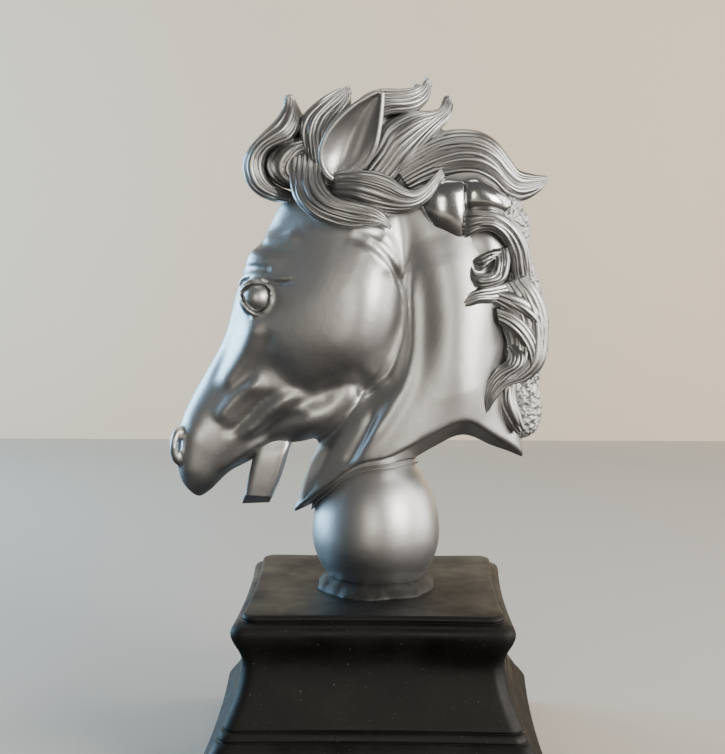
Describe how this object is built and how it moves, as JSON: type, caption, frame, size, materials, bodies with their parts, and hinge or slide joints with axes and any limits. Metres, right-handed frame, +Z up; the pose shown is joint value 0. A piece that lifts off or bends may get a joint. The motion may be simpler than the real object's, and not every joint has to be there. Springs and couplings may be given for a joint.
{
  "type": "giant chess piece",
  "caption": "Silver horse-head knight piece with a flowing mane, on an egg-shaped ball and a square moulded black plinth.",
  "frame": {"origin": "centre of the plinth's flat underside, on the ground", "axes": "+Z up through the ball; the horse looks along -X; its left side faces -Y"},
  "size_m": [0.1654, 0.1492, 0.303],
  "materials": {
    "satin_silver": "satin",
    "bright_silver": "gloss",
    "plinth_black": "matte",
    "putty": "satin",
    "steel": "satin",
    "board": "matte",
    "felt": "matte"
  },
  "bodies": {
    "root": {"plinth": "plinth_black", "base_plate": "board", "base_plate_screws": "steel", "base_felt": "felt", "putty_collar": "putty", "ball": "satin_silver", "tie_rod": "steel", "tie_washer": "steel", "tie_nut": "steel", "neck_insert": "steel", "neck_fillet": "satin_silver", "head_casting": "satin_silver", "lower_jaw": "satin_silver", "eye_left": "satin_silver", "eye_right": "satin_silver", "forelock_tuft": "bright_silver", "forelock_curl": "bright_silver", "poll_tuft": "bright_silver", "crown_tuft": "bright_silver", "crest_tuft": "bright_silver", "crest_back": "bright_silver", "ear_left": "satin_silver", "ear_right": "satin_silver", "under_ear_lock_left": "bright_silver", "under_ear_lock_right": "bright_silver", "poll_side_lock_left": "bright_silver", "poll_side_lock_right": "bright_silver", "mane_pocket_left": "bright_silver", "mane_pocket_right": "bright_silver", "mane_lock_middle_left": "bright_silver", "mane_lock_middle_right": "bright_silver", "mane_curl_left": "bright_silver", "mane_curl_right": "bright_silver", "mane_lock_lower_left": "bright_silver", "mane_lock_lower_right": "bright_silver"}
  },
  "joints": []
}
